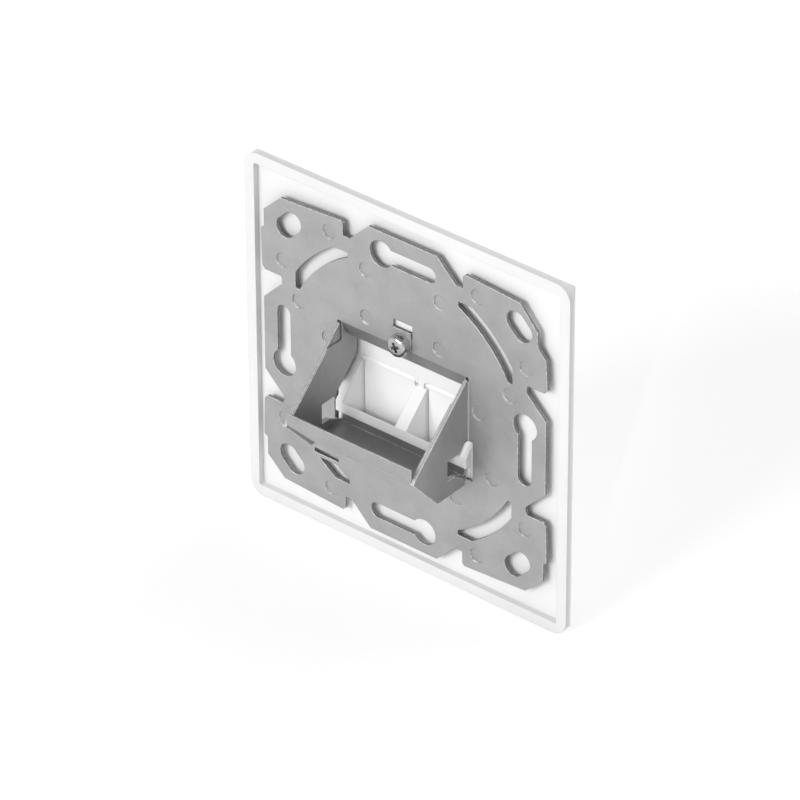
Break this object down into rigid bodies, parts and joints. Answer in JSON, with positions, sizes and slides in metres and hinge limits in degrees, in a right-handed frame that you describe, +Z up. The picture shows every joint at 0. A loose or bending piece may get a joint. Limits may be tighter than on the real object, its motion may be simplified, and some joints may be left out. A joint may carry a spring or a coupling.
{
  "type": "flush keystone outlet",
  "caption": "Flush wall outlet for keystone modules: square cover frame, centre plate with hinged dust flaps, and a stamped steel support plate with a slanting module hopper.",
  "frame": {"origin": "centre of the outlet on the wall plane, which is the support plate's rear face", "axes": "+Z up; +Y from the room into the wall box, square to the wall; the cover frame's front faces -Y; +X to the right seen from the room"},
  "size_m": [0.08, 0.025, 0.08],
  "materials": {
    "white_moulding": "pure white moulded plastic, satin gloss",
    "flap_moulding": "white moulded plastic, satin gloss",
    "galvanised_sheet": "zinc-plated steel sheet, dull, with bright sheared edges",
    "thin_sheet": "thin zinc-plated steel sheet, dull",
    "plated_screw": "bright zinc plating",
    "paper": "plain white label card",
    "clear_plastic": "clear moulded plastic"
  },
  "bodies": {
    "outlet": {"cover_frame": "white_moulding", "centre_plate": "white_moulding", "support_plate": "galvanised_sheet", "module_cradle": "thin_sheet", "fixing_screw": "plated_screw", "label_strip": "paper", "label_window": "clear_plastic"},
    "flap_left": {"dust_flap_left": "flap_moulding"},
    "flap_right": {"dust_flap_right": "flap_moulding"}
  },
  "joints": [
    {"name": "flap_left_hinge", "type": "hinge", "parent": "outlet", "child": "flap_left", "pos_m": [-0.00805, -0.00655, -0.0006], "axis": [-1, 0, 0], "range_deg": [0, 90]},
    {"name": "flap_right_hinge", "type": "hinge", "parent": "outlet", "child": "flap_right", "pos_m": [0.00805, -0.00655, -0.0006], "axis": [-1, 0, 0], "range_deg": [0, 90]}
  ]
}
